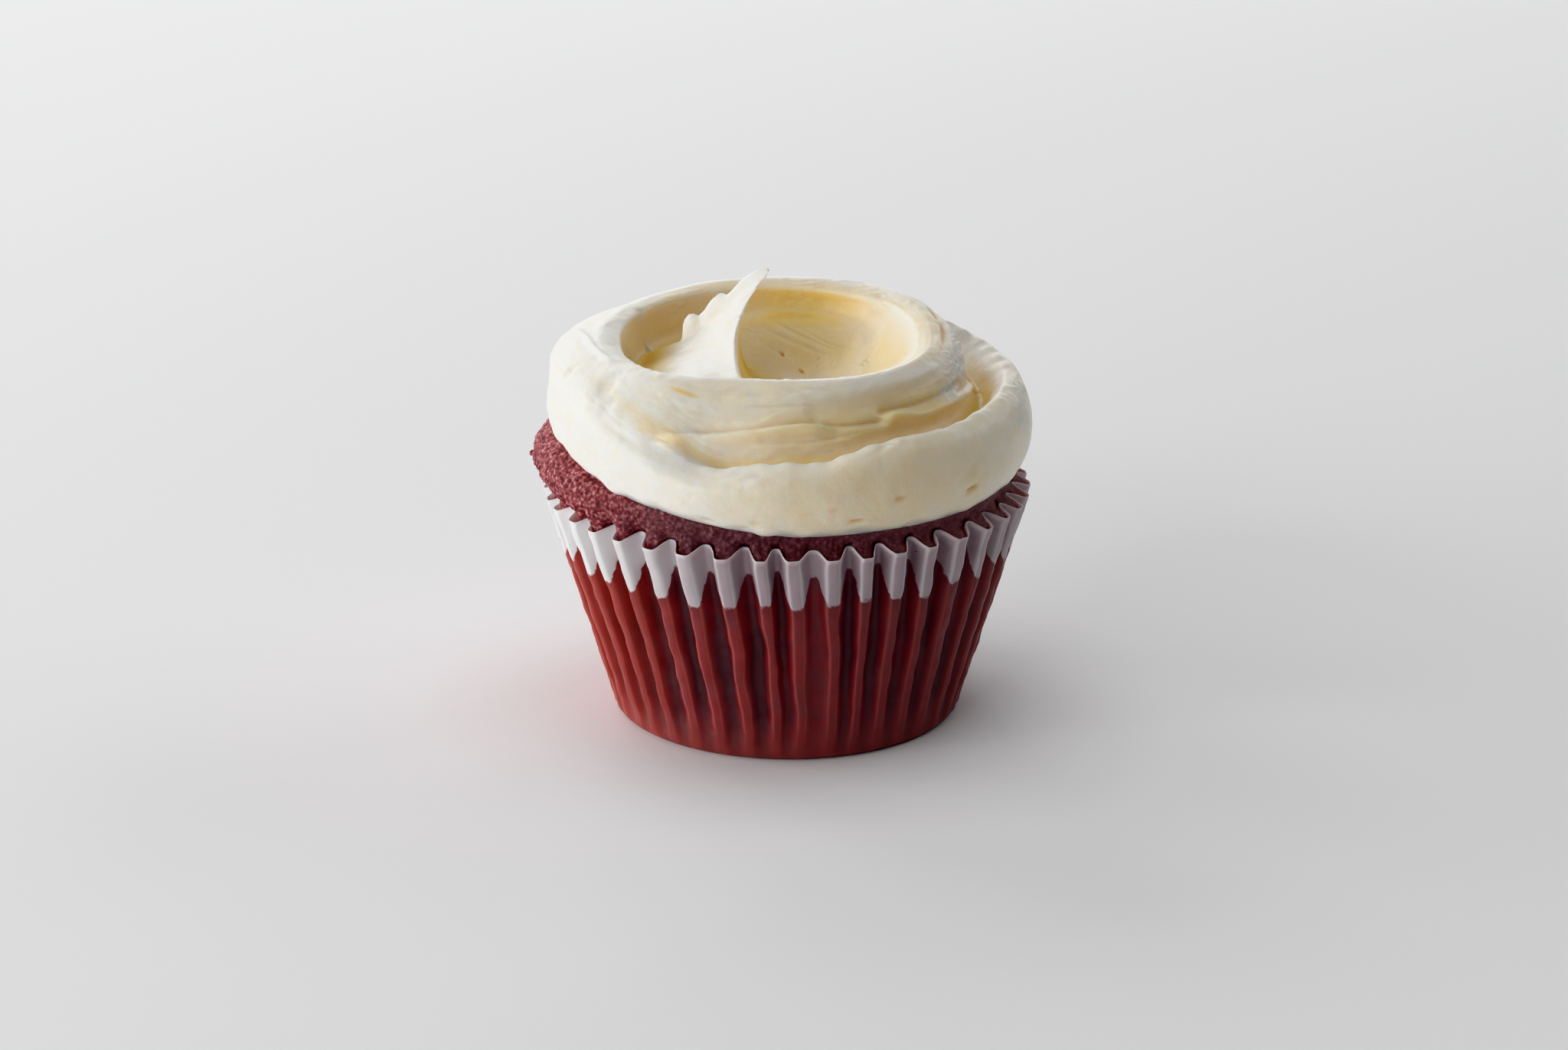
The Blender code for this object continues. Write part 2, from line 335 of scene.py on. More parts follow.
# Shares of the colours: what each follows, from where to where it rises, and its most.
wet, bloom_and_sheen, fringe, rubbed, painted_glow, painted_shade_right, greyed_and_shaded = (
    add_node(
        tree,
        "ShaderNodeMapRange",
        None,
        {"Value": value, "From Min": start, "From Max": end, "To Max": most},
    ).outputs["Result"]
    for value, start, end, most in (
        (edge.outputs[0], -0.15, 0.2, 1.0),
        # wax bloom in patches, partly a painted grey sheen
        (haze, 0.42, 0.75, 0.45),
        (edge.outputs[0], 2.6, 0.2, 1.3),
        (place.outputs["Z"], 7 * MM, 1 * MM, 0.55),
        # painted red glow, as of light coming through the paper, growing towards the left
        (place.outputs["X"], -14 * MM, -27 * MM, 0.55),
        # painted shade and haze reflection on the stained paper, growing towards the right
        (place.outputs["X"], -22 * MM, 14 * MM, 0.5),
        # painted shade: the dry paper greys from the left towards the right, partly the dark cake showing
        # through
        (place.outputs["X"], -30 * MM, -8 * MM, 1.0),
    )
)
speckled = add_node(
    tree, "ShaderNodeMath", {"operation": "MULTIPLY", "use_clamp": True}, {0: fringe, 1: specks}
)
# The crease lines are partly worn paper and partly a painted highlight along the pleats' ridges.
worn_and_highlight = add_node(tree, "ShaderNodeMath", {"operation": "MULTIPLY"}, {0: creased, 1: 0.6}).outputs[0]
stain, dry = red.outputs["Color"], PAPER_WHITE
for factor, tint in (
    (bloom_and_sheen, PAPER_BLOOM_SHEEN),
    (speckled.outputs[0], PAPER_FRINGE),
    (worn_and_highlight, PAPER_WORN_HIGHLIGHT),
    (rubbed, PAPER_RUBBED),
    (painted_glow, PAPER_PAINTED_GLOW),
    (painted_shade_right, PAPER_PAINTED_SHADE),
):
    over = add_node(tree, "ShaderNodeMix", {"data_type": "RGBA"}, {"Factor": factor, "A": stain, "B": tint})
    stain = over.outputs["Result"]
for factor, tint in ((greyed_and_shaded, PAPER_GREY_SHADE), (worn_and_highlight, PAPER_CREASE_HIGHLIGHT)):
    over = add_node(tree, "ShaderNodeMix", {"data_type": "RGBA"}, {"Factor": factor, "A": dry, "B": tint})
    dry = over.outputs["Result"]
colour = add_node(tree, "ShaderNodeMix", {"data_type": "RGBA"}, {"Factor": wet, "A": dry, "B": stain})
tree.links.new(colour.outputs["Result"], shader.inputs["Base Color"])
relief = add_node(tree, "ShaderNodeBump", None, {"Height": fibres, "Strength": 0.35, "Distance": 0.1 * MM})
tree.links.new(relief.outputs["Normal"], shader.inputs["Normal"])
shader.inputs["Roughness"].default_value = 0.45
shader.inputs["Subsurface Weight"].default_value = 0.4
shader.inputs["Subsurface Radius"].default_value = (1.0, 0.5, 0.5)
shader.inputs["Subsurface Scale"].default_value = 0.5 * MM

case.data.materials.append(paper)
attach(case, "root")
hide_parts("paper_case")

# ----------------------------------------------------------------------
# Cake. Red sponge that filled the pleats as it rose, swelled over the rim on the left and domed up. Only a
# band of it shows between the case and the frosting. It is a grid rolled into a closed body, dense in rows
# where it shows, and roughened into crumb there.
# ----------------------------------------------------------------------

CAKE_COLUMNS = 1000
CAKE_SKIN_ROWS = 62
# This many of the skin's rows at each end are hidden and stay smooth.
CAKE_SMOOTH_ROWS = 2
# The hidden rows inside the case and under the frosting, as radius and height.
CAKE_BELOW = ((0, 1.2), (12, 1.2), (22.2, 1.2), (23.2, 3.2), (24.4, 8.0), (26.6, 18.0), (29.0, 27.0))
CAKE_ABOVE = ((24.0, 42.4), (12.0, 43.2), (0.0, 43.3))
# How far the cake stays clear of the crumpled paper's panels, and how much further of its folds.
CLEAR_OF_PANEL = 0.7
CLEAR_OF_FOLD = 0.6


def course(*stops):
    """A closed line round the cupcake through (compass angle, radius, height) stops, as a function that gives
    the radius and the height at any angle."""
    angles = np.array([stop[0] for stop in stops], float)
    values = np.array([stop[1:] for stop in stops], float)
    order = np.argsort(angles)
    angles, values = angles[order], values[order]
    angles = np.concatenate([angles[-2:] - 360, angles, angles[:2] + 360])
    values = np.concatenate([values[-2:], values, values[:2]])
    slopes = np.zeros_like(values)
    slopes[1:-1] = (values[2:] - values[:-2]) / (angles[2:] - angles[:-2])[:, None]

    def at(angle):
        turned = (np.asarray(angle) - angles[1]) % 360 + angles[1]
        i = np.clip(np.searchsorted(angles, turned, side="right") - 1, 1, len(angles) - 3)
        span = angles[i + 1] - angles[i]
        t = ((turned - angles[i]) / span)[..., None]
        span = span[..., None]
        return (
            (2 * t**3 - 3 * t**2 + 1) * values[i]
            + (t**3 - 2 * t**2 + t) * span * slopes[i]
            + (3 * t**2 - 2 * t**3) * values[i + 1]
            + (t**3 - t**2) * span * slopes[i + 1]
        )

    return at


# The lower edge of the frosting, where it sits on the cake, and the cake's edge below it, radius and height.
SEAT = course(
    (-135, 32.6, 41), (-90, 32.3, 42.4), (-68, 32.5, 41.5), (-46, 32.7, 39), (-28, 32.5, 37.5),
    (-12, 32.2, 36.3), (2, 32, 35.5), (17, 32, 35.5), (45, 32.1, 35.6), (68, 32.2, 36), (90, 32, 36.1),
    (135, 32.4, 37.6), (180, 32.6, 39),
)
CAKE_EDGE = course(
    (-135, 34.9, 37.2), (-90, 35.9, 37.6), (-60, 35, 37), (-40, 33.4, 36.2), (-20, 32.4, 35.3),
    (0, 31.9, 34.7), (45, 31.8, 34.5), (90, 31.8, 34.7), (135, 32.4, 35.6), (180, 33.2, 36.6),
)
CAKE_NECK = course(
    (-135, 31.8, 34.2), (-90, 32, 34.3), (-45, 31.5, 33.7), (0, 31, 32.9), (90, 31, 32.9),
    (180, 31.5, 33.4),
)


def through(stations, rows_each):
    """Points along a smooth line through stations, each an array of points, with rows_each to a stretch."""
    padded = [2 * stations[0] - stations[1], *stations, 2 * stations[-1] - stations[-2]]
    found = []
    for before, start, end, after in zip(padded, padded[1:], padded[2:], padded[3:]):
        for t in np.arange(rows_each) / rows_each:
            found.append(
                0.5
                * (
                    2 * start
                    + (end - before) * t
                    + (2 * before - 5 * start + 4 * end - after) * t**2
                    + (3 * start - before - 3 * end + after) * t**3
                )
            )
    return np.array([*found, stations[-1]])


def respace(line, rows, pull=None):
    """The same lines, one to a column, with points set evenly along each, or closer where pull is high."""
    steps = np.linalg.norm(np.diff(line[..., :3], axis=0), axis=-1)
    if pull is not None:
        steps = steps * (pull[1:] + pull[:-1]) / 2
    length = np.concatenate([np.zeros((1, line.shape[1])), np.cumsum(steps, 0)])
    found = np.empty((rows + 1, *line.shape[1:]))
    for column in range(line.shape[1]):
        wanted = np.linspace(0, length[-1, column], rows + 1)
        for part in range(line.shape[2]):
            found[:, column, part] = np.interp(wanted, length[:, column], line[:, column, part])
    return found


def inside_case(angle, height):
    """How far out the cake fills the pleats at compass angles and a height, clear of the paper's crumples."""
    share = (height - CASE_CORNER_HEIGHT) / (CASE_RIM_HEIGHT - CASE_CORNER_HEIGHT)
    depth = np.interp(height, DEPTH_HEIGHTS, FOLD_DEPTHS) * np.repeat(fold_strength, 4) + CLEAR_OF_FOLD
    radius = wall_radius(share) - CLEAR_OF_PANEL - depth * np.tile(IN_FOLD, PLEATS)
    return np.interp(angle, pleat_corners(height).ravel(), radius, period=360)


def place_cake(around):
    angle = around * 360
    neck, swell, seat = CAKE_NECK(angle), CAKE_EDGE(angle), SEAT(angle)
    # Below the rim the neck follows the pleats; where the cake swelled over the rim it is round.
    neck[:, 1] -= 0.35
    over_rim = smoothstep(33.0, 33.9, neck[:, 1])
    neck[:, 0] = np.maximum(neck[:, 0] - 0.9 * (1 - over_rim), inside_case(angle, 32.0))
    under_swell = (neck + swell) / 2 - (0, 0.2)
    under_swell[:, 0] = np.minimum(
        (neck[:, 0] + 2 * swell[:, 0]) / 3 + 0.1,
        inside_case(angle, CASE_RIM_HEIGHT) + 0.1 + 8 * np.maximum(under_swell[:, 1] - 33.7, 0),
    )
    skin = through(
        [
            polar(angle, inside_case(angle, 30.0) - 0.1, 30.0),
            ring(angle, neck),
            ring(angle, under_swell),
            ring(angle, swell),
            polar(angle, (seat[:, 0] + 2 * swell[:, 0]) / 3 + 0.1, (seat[:, 1] + swell[:, 1]) / 2 + 0.2),
            ring(angle, seat + (-0.3, 0.1)),
            ring(angle, seat + (-2.0, 0.5)),
        ],
        10,
    )
    skin = respace(skin, CAKE_SKIN_ROWS)
    below, above = (np.array([polar(angle, *stop) for stop in row]) for row in (CAKE_BELOW, CAKE_ABOVE))
    points = np.concatenate([below, skin, above])
    showing = np.zeros(len(points))
    showing[len(below) + CAKE_SMOOTH_ROWS : len(below) + len(skin) - CAKE_SMOOTH_ROWS] = 1.0
    return points, {"showing": showing[:, None]}


cake = roll_up("cake_crumb", CAKE_COLUMNS, len(CAKE_BELOW) + CAKE_SKIN_ROWS + len(CAKE_ABOVE), place_cake)
group_from(cake, "showing")
crumple(cake, "cake swell", "CLOUDS", 5.0, 0.9, "showing")
crumple(cake, "cake grain", "VORONOI", 0.7, -0.4, "showing", distance_metric="DISTANCE", noise_intensity=1.0)
crumple(cake, "cake crumb", "CLOUDS", 0.45, 0.4, "showing", noise_depth=2)

# Red sponge cake: an open crumb of small bubbles, paler, pinker grains with dark pits between them; the
# grains are partly the crumb's own speckle and partly painted highlights, the pits partly painted shade. It
# is matt. Painted shade darkens it from the left to the front, under the frosting, and it is paler and
# greyer towards the right.
CAKE_GRAIN_HIGHLIGHT = linear("CF9293")
CAKE_RED = linear("9A4B4F")
CAKE_PIT_SHADE = linear("5F2A30")
CAKE_PAINTED_SHADE = linear("543D42")
CAKE_GREYER_RIGHT = linear("8C6F73")

sponge, tree, shader = start_material("red sponge cake")
spot = add_node(tree, "ShaderNodeTexCoord").outputs["Object"]
bubbles = add_node(tree, "ShaderNodeTexVoronoi", None, {"Vector": spot, "Scale": 1700.0}).outputs["Distance"]
specks = add_node(tree, "ShaderNodeTexNoise", None, {"Vector": spot, "Scale": 1400.0, "Detail": 6.0})
grain = add_node(
    tree, "ShaderNodeMath", {"operation": "MULTIPLY_ADD"}, {0: bubbles, 1: -0.55, 2: specks.outputs["Fac"]}
)
# The ramp paints the crumb's speckle, with painted highlights on the paler grains and painted shade in the
# pits.
crumb = add_node(tree, "ShaderNodeValToRGB", None, {"Fac": grain.outputs[0]})
crumb.color_ramp.elements[0].position = 0.02
crumb.color_ramp.elements[0].color = CAKE_PIT_SHADE
crumb.color_ramp.elements[1].position = 0.5
crumb.color_ramp.elements[1].color = CAKE_GRAIN_HIGHLIGHT
crumb.color_ramp.elements.new(0.26).color = CAKE_RED
place = add_node(tree, "ShaderNodeSeparateXYZ", None, {"Vector": spot})
colour = crumb.outputs["Color"]
# Painted shade darkens the crumb from the left towards the front; towards the right it turns paler and
# greyer.
for ease, start, end, tint in (("SMOOTHSTEP", -30, -12, CAKE_PAINTED_SHADE), ("LINEAR", 4, 28, CAKE_GREYER_RIGHT)):
    share = add_node(
        tree,
        "ShaderNodeMapRange",
        {"interpolation_type": ease},
        {"Value": place.outputs["X"], "From Min": start * MM, "From Max": end * MM, "To Max": 0.75},
    ).outputs["Result"]
    over = add_node(tree, "ShaderNodeMix", {"data_type": "RGBA"}, {"Factor": share, "A": colour, "B": tint})
    colour = over.outputs["Result"]
tree.links.new(colour, shader.inputs["Base Color"])
relief = add_node(
    tree, "ShaderNodeBump", None, {"Height": grain.outputs[0], "Strength": 0.6, "Distance": 0.25 * MM}
)
tree.links.new(relief.outputs["Normal"], shader.inputs["Normal"])
shader.inputs["Roughness"].default_value = 0.75
shader.inputs["Subsurface Weight"].default_value = 0.15
shader.inputs["Subsurface Radius"].default_value = (1.0, 0.25, 0.2)
shader.inputs["Subsurface Scale"].default_value = 1.0 * MM

cake.data.materials.append(sponge)
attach(cake, "root")
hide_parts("cake")

# ----------------------------------------------------------------------
# Crumbs. Loose crumbs of the same sponge: one clings to the cake's left edge and a few smaller ones lie on
# its skin. Each is an icosphere, squeezed and roughened, and all are joined into one piece.
# ----------------------------------------------------------------------

# Compass angle, radius and height in mm, and the crumb's own radius.
CRUMBS = (
    (-91, 36.1, 36.9, 0.5),
    (-76, 35.5, 37.8, 0.3),
    (-60, 34.9, 36.9, 0.3),
    (-45, 33.9, 36.4, 0.26),
    (-118, 35.2, 37.6, 0.36),
    (-152, 34.3, 37.1, 0.33),
)
bpy.ops.object.select_all(action="DESELECT")
crumb_balls = []
for angle, radius, height, size in CRUMBS:
    place = polar(angle, radius, height) * MM
    bpy.ops.mesh.primitive_ico_sphere_add(subdivisions=4, radius=size * MM, location=place)
    bpy.context.active_object.scale = (1.0, 0.8, 0.85)
    crumb_balls.append(bpy.context.active_object)
for ball in crumb_balls:
    ball.select_set(True)
bpy.context.view_layer.objects.active = crumb_balls[0]
bpy.ops.object.join()
crumbs = bpy.context.active_object
crumbs.name = crumbs.data.name = "cake_crumbs"
bpy.ops.object.transform_apply(location=True, rotation=True, scale=True)
bpy.ops.object.shade_smooth()
crumple(crumbs, "crumb shape", "CLOUDS", 0.5, 0.45)
crumple(crumbs, "crumb grain", "CLOUDS", 0.18, 0.14)
crumbs.data.materials.append(sponge)
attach(crumbs, "root")

# ----------------------------------------------------------------------
# Frosting. Cream cheese frosting, laid round the cake in one fat band with a spatula that then turned
# inwards: the band's inner edge is a thin lip, a groove parts it from the ring inside it, and the ring
# slopes into a well where the last stroke lifted off and left a fold with a peak. It is a rolled grid.
# ----------------------------------------------------------------------

FROSTING_COLUMNS = 560
FROSTING_SKIN_ROWS = 173
WELL_LOWEST = (3.0, 3.0, 46.4)
# The rows under the frosting, as shares of its seat's radius, and how high they rise over the cake's dome.
UNDERSIDE = (0.0, 0.35, 0.7, 0.92)
DOME_HEIGHT = 42.6
# How closely the rows lie at some lines, which count from the seat, 0, by the lip, 4, to the rim's edge, 12.
SPACED_LINES = (0, 0.6, 2, 3, 3.7, 4.4, 5, 6.5, 7, 9.5, 11, 13, 14, 16, 19)
CLOSENESS = (1.2, 1, 0.8, 1, 1.8, 1.8, 1.2, 1.2, 1.7, 1.5, 1.5, 2.2, 1.5, 1.6, 1.2)
# The line past which the frosting belongs to the well.
WELL_STARTS = 11.5

# Lines round the frosting as (compass angle, radius, height), from the seat outwards, up and in to the well.
BELLY = course(
    (-135, 33.8, 46.4), (-90, 33.5, 47.8), (-60, 33.9, 45.8), (-36, 34.4, 42.8), (-13, 34.4, 41),
    (5, 34.4, 40.4), (30, 34.5, 40.8), (60, 34.7, 41.3), (90, 34.7, 41.8), (135, 34.5, 43.8),
    (180, 34.4, 45),
)
SHOULDER = course(
    (-135, 33.7, 50), (-90, 33.4, 50.6), (-60, 33.7, 48.8), (-36, 33.9, 44.9), (-22, 33.6, 43.4),
    (-8, 33.4, 43.7), (5, 33.4, 44), (18, 33.4, 45.2), (32, 33.3, 46.3), (60, 33.4, 46.5), (90, 33.5, 46.8),
    (135, 33.5, 48.2), (180, 33.4, 49.2),
)
LIP = course(
    (-135, 32, 52.2), (-110, 32.3, 52.5), (-90, 32.5, 52.6), (-65, 32.8, 51.2), (-50, 32.8, 49.2),
    (-38, 32.7, 46.9), (-30, 32.2, 45.4), (-22, 31.6, 44.5), (-15, 31.4, 44.8), (-4, 31.3, 45.6),
    (9, 31.3, 45.7), (14, 31.2, 46.4), (23, 31.1, 47.5), (32, 31, 47.9), (45, 31, 47.8), (60, 30.9, 48.2),
    (75, 31, 48.6), (90, 31.3, 48.6), (115, 31.8, 49.2), (135, 31.8, 50.5), (160, 31.4, 50.9),
    (180, 31.4, 51.2), (205, 31.7, 51.8),
)
INNER_LIP = course(
    (-135, 31, 53), (-110, 31.1, 53.5), (-90, 31.2, 53.6), (-65, 31.5, 52.4), (-50, 31.7, 50.5),
    (-38, 31.8, 48.1), (-30, 31.3, 46.6), (-22, 30.7, 44.6), (-15, 30.4, 44.2), (-4, 30.2, 44.7),
    (9, 30.1, 44.8), (14, 30.1, 45.4), (23, 29.9, 46.4), (32, 29.7, 47), (45, 29.6, 46.9), (60, 29.5, 47.2),
    (75, 29.5, 47.6), (90, 29.6, 47.6), (115, 29.8, 48.1), (135, 30, 49.6), (160, 30.1, 50.6),
    (180, 30.2, 51), (205, 30.5, 52.2),
)
GROOVE = course(
    (-135, 29.6, 53.6), (-110, 29.7, 54.1), (-90, 29.7, 54.2), (-65, 30, 53.2), (-50, 30.4, 51.5),
    (-38, 30.75, 49.4), (-30, 30.4, 47.6), (-22, 29.9, 44.9), (-15, 29.4, 43.9), (-4, 28.9, 44.1),
    (9, 28.8, 44.1), (23, 28.3, 44.4), (32, 27.9, 44.5), (45, 27.7, 44.5), (60, 27.4, 44.4),
    (75, 27.2, 44.4), (90, 27.2, 44.5), (115, 27.4, 45.8), (135, 27.8, 47.6), (160, 28.3, 49.4),
    (180, 28.6, 50.4), (205, 29, 52.2),
)
FOOT = course(
    (-135, 28.6, 54.1), (-90, 28.5, 54.5), (-65, 28.9, 53.7), (-50, 29.3, 52.4), (-38, 29.7, 50.5),
    (-30, 29.4, 48.9), (-22, 29, 46.7), (-15, 28.5, 46), (0, 27.9, 46.4), (15, 27.4, 46.5),
    (32, 26.6, 46.6), (45, 26.2, 46.7), (70, 25.6, 46.9), (90, 25.4, 47.2), (115, 26.1, 48.4),
    (135, 26.7, 49.9), (160, 27, 51.6), (180, 27.5, 52.6), (205, 28.1, 53.6),
)
FLANK = course(
    (-135, 27.7, 54.6), (-90, 27.4, 54.7), (-65, 27.7, 54.1), (-50, 28.2, 53.2), (-38, 28.5, 51.7),
    (-30, 28.2, 50.3), (-22, 27.8, 49), (-15, 27.4, 48.9), (0, 26.8, 49.6), (15, 26.2, 49.6),
    (32, 25.5, 49.7), (45, 25.2, 49.8), (70, 24.8, 50.2), (90, 24.9, 50.6), (115, 25.6, 51.6),
    (135, 26.2, 52.7), (160, 26.5, 53.8), (180, 26.7, 54.4), (205, 27.2, 54.6),
)
BROW = course(
    (-135, 27, 55.2), (-90, 26.6, 55), (-65, 26.6, 54.4), (-50, 26.8, 54), (-38, 26.6, 53.5),
    (-27, 25.7, 52.5), (-15, 24.8, 52), (0, 24.3, 52.3), (15, 24, 52.4), (32, 23.7, 52.4), (45, 23.4, 52.4),
    (70, 23, 52.7), (90, 23.2, 53.1), (115, 24.3, 54.1), (135, 25.4, 55.1), (160, 25.9, 55.7),
    (180, 26, 55.8), (205, 26.5, 55.7),
)
CREST = course(
    (-135, 25.9, 55.5), (-110, 25.7, 55.3), (-90, 25.5, 55), (-65, 25.4, 54.4), (-50, 25.2, 54.3),
    (-38, 24.4, 54.2), (-19, 22.4, 54.1), (0, 21.8, 54.1), (20, 22, 54), (38, 21.8, 54), (60, 21.1, 54.1),
    (90, 20.7, 54.3), (115, 21.8, 55.2), (136, 23.2, 55.9), (158, 24.1, 56.1), (180, 24.4, 56.2),
    (205, 25.2, 56),
)
RIM_EDGE = course(
    (-135, 23.6, 55.3), (-110, 23.5, 55), (-84, 23.7, 54.4), (-68, 24, 53.9), (-52, 23.8, 53.8),
    (-41, 23.2, 53.9), (-19, 20.7, 54), (3, 20.1, 54), (20, 20.5, 54), (38, 20.3, 53.9), (59, 19.3, 53.9),
    (87, 18.2, 54), (115, 19.2, 54.7), (136, 20.6, 55.2), (158, 21.3, 55.4), (180, 22, 55.6),
    (205, 23.2, 55.6),
)
WELL_WALL = course(
    (-135, 23, 52.4), (-90, 23, 51.6), (-60, 22.4, 52), (-30, 19.6, 52.6), (0, 17.9, 52), (30, 18, 51.8),
    (60, 16.8, 51.8), (90, 15.8, 51.9), (115, 16.9, 52.6), (136, 19.4, 53.4), (158, 21, 53.8),
    (180, 21.8, 53.9), (205, 22.8, 53.4),
)
WELL_FOOT = course(
    (-135, 22, 49.6), (-90, 21.6, 48.6), (-60, 20.2, 49.6), (-30, 16.2, 50), (0, 14.4, 49.2),
    (30, 14.4, 49), (60, 13.2, 48.8), (90, 12.2, 48.9), (115, 13.8, 49.8), (136, 17.6, 51.2),
    (158, 20.4, 51.8), (180, 21.1, 52), (205, 21.8, 51.2),
)

# The fold left in the well, in mm: its crest from the front rim to the peak, with how far its right side
# takes to fall away; the torn edge behind it, with how far the tear stands up; and heights on its left
# slope.
FOLD_CREST = np.array(
    [
        (-6.4, -21, 53.6, 2.2), (-6.8, -16, 53.9, 1.8), (-7.2, -10, 54.3, 1.3), (-7.3, -5, 55.2, 1),
        (-7.3, -0.5, 56.8, 0.9), (-7.3, 2, 58.6, 0.8), (-7.3, 4, 60.9, 0.6), (-7.3, 5, 63, 0.5),
    ]
)
FOLD_TEAR = np.array(
    [
        (-7.3, 5, 0), (-7.8, 5.6, 1.6), (-8.5, 6.1, 3.3), (-9.2, 6.5, 4.4), (-9.8, 6.7, 4.5),
        (-10, 6.8, 2.3), (-10.5, 6.9, 2.7), (-11.2, 7, 3.7), (-11.9, 7.1, 4.1), (-12.1, 7.1, 2),
        (-12.6, 7.1, 2), (-13.1, 7, 2.7), (-13.6, 6.9, 3.4), (-14.4, 6.9, 3.5), (-14.8, 6.9, 2.5),
        (-15, 6.9, 0.2), (-16.2, 7.4, 0), (-18.4, 7.8, 0), (-22, 8.6, 0),
    ]
)
# Above this height the fold leans over to the right: by how much at the peak, how far up the peak is, and by
# which power of the height.
LEAN_FROM = 55.0
LEAN = (5.4, 8.0, 1.35)
FOLD_SLOPE = np.array(
    [
        (-12, -17, 53.2), (-12, -9, 53), (-12, -2, 53), (-11, 3, 53.9), (-10.6, 6.8, 55.8), (-9, 6.4, 58),
        (-8, 5.8, 60.6), (-13.5, 6.8, 52.5), (-17, -12, 51.8), (-17, -5, 51), (-17, 1, 50.8),
        (-16.2, 7, 51.1), (-18.4, 7.4, 50.1), (-21.5, -6, 49.6), (-21.5, 2, 48.8), (-21.4, 7, 48.2),
    ]
)
# How wide the torn edge stands up, how far it takes to fall away, and the y between which the fold fades in.
TEAR_WIDTH = 0.65
TEAR_FALL = 0.8
FOLD_FRONT = (-21.5, -17.5)
# Scratches that the spatula left on the well's floor: from and to in mm, half their width, and their rise.
SCRATCHES = (
    (-3.0, 20.5, 9.0, 9.5, 0.3, 0.3),
    (-4.0, 18.5, 7.0, 9.5, 0.35, 0.25),
    (1.0, 18.8, 11.5, 8.0, 0.25, 0.18),
    (-4.5, 15.5, 3.0, 8.5, 0.4, 0.16),
)


def plate_through(places):
    """A thin bent plate's height, as a function of x and y, through places given as (x, y, height)."""

    def bending(distance):
        return np.where(distance > 1e-9, distance**2 * np.log(np.maximum(distance, 1e-9)), 0.0)

    count = len(places)
    apart = np.linalg.norm(places[:, None, :2] - places[None, :, :2], axis=-1)
    flat = np.column_stack([np.ones(count), places[:, :2]])
    system = np.block([[bending(apart) + 0.3 * np.eye(count), flat], [flat.T, np.zeros((3, 3))]])
    solved = np.linalg.solve(system, np.concatenate([places[:, 2], np.zeros(3)]))

    def height(x, y):
        total = solved[count] + solved[count + 1] * x + solved[count + 2] * y
        for (px, py, _), weight in zip(places, solved):
            total = total + weight * bending(np.hypot(x - px, y - py))
        return total

    return height


def smooth_max(one, other, width):
    """The greater of two surfaces, with the angle between them rounded over a width."""
    gap = np.clip(0.5 + 0.5 * (one - other) / width, 0.0, 1.0)
    return other + (one - other) * gap + width * gap * (1 - gap)


def along(stops, count):
    """Evenly spaced samples along a line of stops, with whatever each stop carries."""
    length = np.concatenate([[0.0], np.cumsum(np.linalg.norm(np.diff(stops[:, :2], axis=0), axis=1))])
    wanted = np.linspace(0.0, length[-1], count)
    return np.column_stack([np.interp(wanted, length, part) for part in stops.T])


fold_slope = plate_through(np.vstack([FOLD_CREST[:, :3], FOLD_SLOPE]))
crest_line = along(FOLD_CREST, 140)
tear_line = along(FOLD_TEAR, 160)
# The fold's outline, crest and tear together: x, y, how far it stands up, and how far it takes to fall away.
fold_edge = np.concatenate(
    [
        np.column_stack([crest_line[:, :2], np.zeros(len(crest_line)), crest_line[:, 3]]),
        np.column_stack([tear_line, np.full(len(tear_line), TEAR_FALL)]),
    ]
)


def nearest(x, y, line):
    """For each place, the index of the closest sample of a line, and the distance to it."""
    index = np.empty(x.shape, int)
    distance = np.empty(x.shape)
    for row in range(len(x)):
        apart = np.hypot(x[row][:, None] - line[:, 0], y[row][:, None] - line[:, 1])
        index[row] = apart.argmin(1)
        distance[row] = apart.min(1)
    return index, distance


def with_fold(points):
    """Lifts the well's surface to the fold: a slope on the left of its crest, a hollow falling away on the
    right of it, and a torn edge behind it. Its tone is 1 in the hollow and -1 on the thin white fold."""
    x, y, floor = points[..., 0], points[..., 1], points[..., 2].copy()
    for x0, y0, x1, y1, half, rise in SCRATCHES:
        reach = math.hypot(x1 - x0, y1 - y0)
        way = ((x - x0) * (x1 - x0) + (y - y0) * (y1 - y0)) / reach**2
        aside = ((y - y0) * (x1 - x0) - (x - x0) * (y1 - y0)) / reach + 0.25 * np.sin(5 * way)
        ridge = rise * smoothstep(0, 0.3, way) * (1 - smoothstep(0.6, 1, way))
        floor += ridge * np.exp(-((aside / half) ** 2))
    on_slope = (x < np.interp(y, FOLD_CREST[:, 1], FOLD_CREST[:, 0])) & (
        y < np.interp(x, FOLD_TEAR[::-1, 0], FOLD_TEAR[::-1, 1])
    )
    torn, from_tear = nearest(x, y, tear_line)
    stand = tear_line[torn, 2] * np.exp(-((from_tear / TEAR_WIDTH) ** 2))
    slope = smooth_max(fold_slope(x, y), floor, 1.0) + stand
    edge, away = nearest(x, y, fold_edge)
    edge_height = fold_slope(fold_edge[edge, 0], fold_edge[edge, 1]) + fold_edge[edge, 2]
    beyond = floor + np.maximum(edge_height - floor, 0.0) * np.exp(-away / fold_edge[edge, 3])
    lifted = np.where(on_slope, slope, beyond)
    inside = smoothstep(*FOLD_FRONT, y)
    thin = smoothstep(1.0, 4.0, edge_height - floor)
    # Tone for the painted warm shade: bare takes it off the lit slope and thin edge, hollow paints it right
    # of the crest.
    bare = np.where(on_slope, smoothstep(-20.0, -14.0, x), thin * np.exp(-((away / 0.3) ** 2)))
    hollow = smoothstep(0.15, 0.7, away) * np.exp(-((away / 7.0) ** 2)) * (x > -9) * (~on_slope)
    height = floor + (lifted - floor) * inside
    most, reach, power = LEAN
    lean = most * (np.maximum(height - LEAN_FROM, 0.0) / reach) ** power
    lean *= smoothstep(0.0, 2.0, height - floor)
    return np.stack([x + lean, y, height], -1), (hollow - bare) * inside


